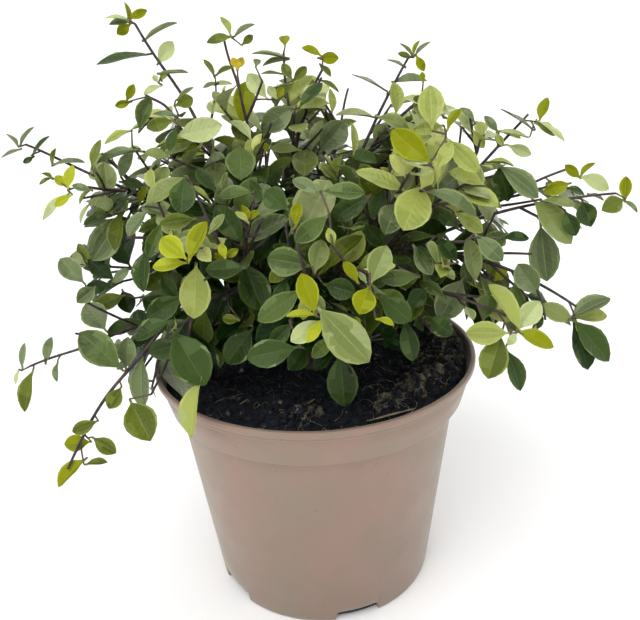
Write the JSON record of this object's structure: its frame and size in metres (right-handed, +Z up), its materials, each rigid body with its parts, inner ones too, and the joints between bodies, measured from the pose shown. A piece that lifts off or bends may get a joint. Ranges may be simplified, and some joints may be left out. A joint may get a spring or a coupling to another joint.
{
  "type": "potted pittosporum shrub",
  "caption": "Small broadleaf evergreen shrub: a short trunk and slim forking boughs with masses of oval leaves, growing in soil in a round tapered nursery pot.",
  "frame": {"origin": "the middle of the pot's flat underside, on the surface that the plant stands on", "axes": "+Z up the pot's axis; -Y towards the front, the side with the lowest leaves; +X to the right seen from the front"},
  "size_m": [0.3215, 0.248, 0.3113],
  "materials": {
    "pot_plastic": "matt injection-moulded polypropylene in a dusty pinkish taupe, faintly scuffed",
    "potting_soil": "damp dark crumbly potting soil with pale fibres",
    "bark": "thin dark purplish brown bark, rough and slightly ridged",
    "leaf": "leathery, satin, mid to dark green with a paler midrib",
    "young_leaf": "soft, satin, yellow-green"
  },
  "bodies": {
    "root": {"pot": "pot_plastic", "soil": "potting_soil", "trunk": "bark", "bough_top_mid": "bark", "bough_tall_left": "bark", "bough_top_right": "bark", "bough_far_left": "bark", "bough_right_far": "bark", "bough_front_right_mid": "bark", "bough_front_centre": "bark", "bough_left_leafy": "bark", "bough_back": "bark", "bough_back_right": "bark", "bough_back_left": "bark", "bough_left_low": "bark", "bough_low_front": "bark", "bough_right_mid": "bark", "bough_right_up": "bark", "bough_front_right_low": "bark", "bough_front_upper_right": "bark", "bough_right_low": "bark", "bough_front_right_rosette": "bark", "bough_front_left_rosette": "bark", "bough_left_front_low": "bark", "bough_droop_left": "bark", "bough_low_left_far": "bark", "bough_yellow_tip": "bark", "bough_top_mid_left": "bark", "bough_back_low_left": "bark", "bough_back_high": "bark", "bough_back_low_right": "bark", "foliage_top_mid": "leaf", "foliage_tall_left": "leaf", "foliage_top_right": "leaf", "foliage_far_left": "leaf", "foliage_right_far": "leaf", "foliage_front_right_mid": "leaf", "foliage_front_centre": "young_leaf", "foliage_left_leafy": "leaf", "foliage_back": "leaf", "foliage_back_right": "leaf", "foliage_back_left": "leaf", "foliage_left_low": "leaf", "foliage_low_front": "leaf", "foliage_low_back": "leaf", "foliage_right_mid": "leaf", "foliage_right_up": "leaf", "foliage_front_right_low": "leaf", "foliage_front_upper_right": "leaf", "foliage_right_low": "leaf", "foliage_front_right_rosette": "young_leaf", "foliage_front_left_rosette": "young_leaf", "foliage_left_front_low": "leaf", "foliage_droop_left": "leaf", "foliage_low_left_far": "leaf", "foliage_yellow_tip": "young_leaf", "foliage_top_mid_left": "leaf", "foliage_back_low_left": "leaf", "foliage_back_high": "leaf", "foliage_back_low_right": "leaf"}
  },
  "joints": []
}
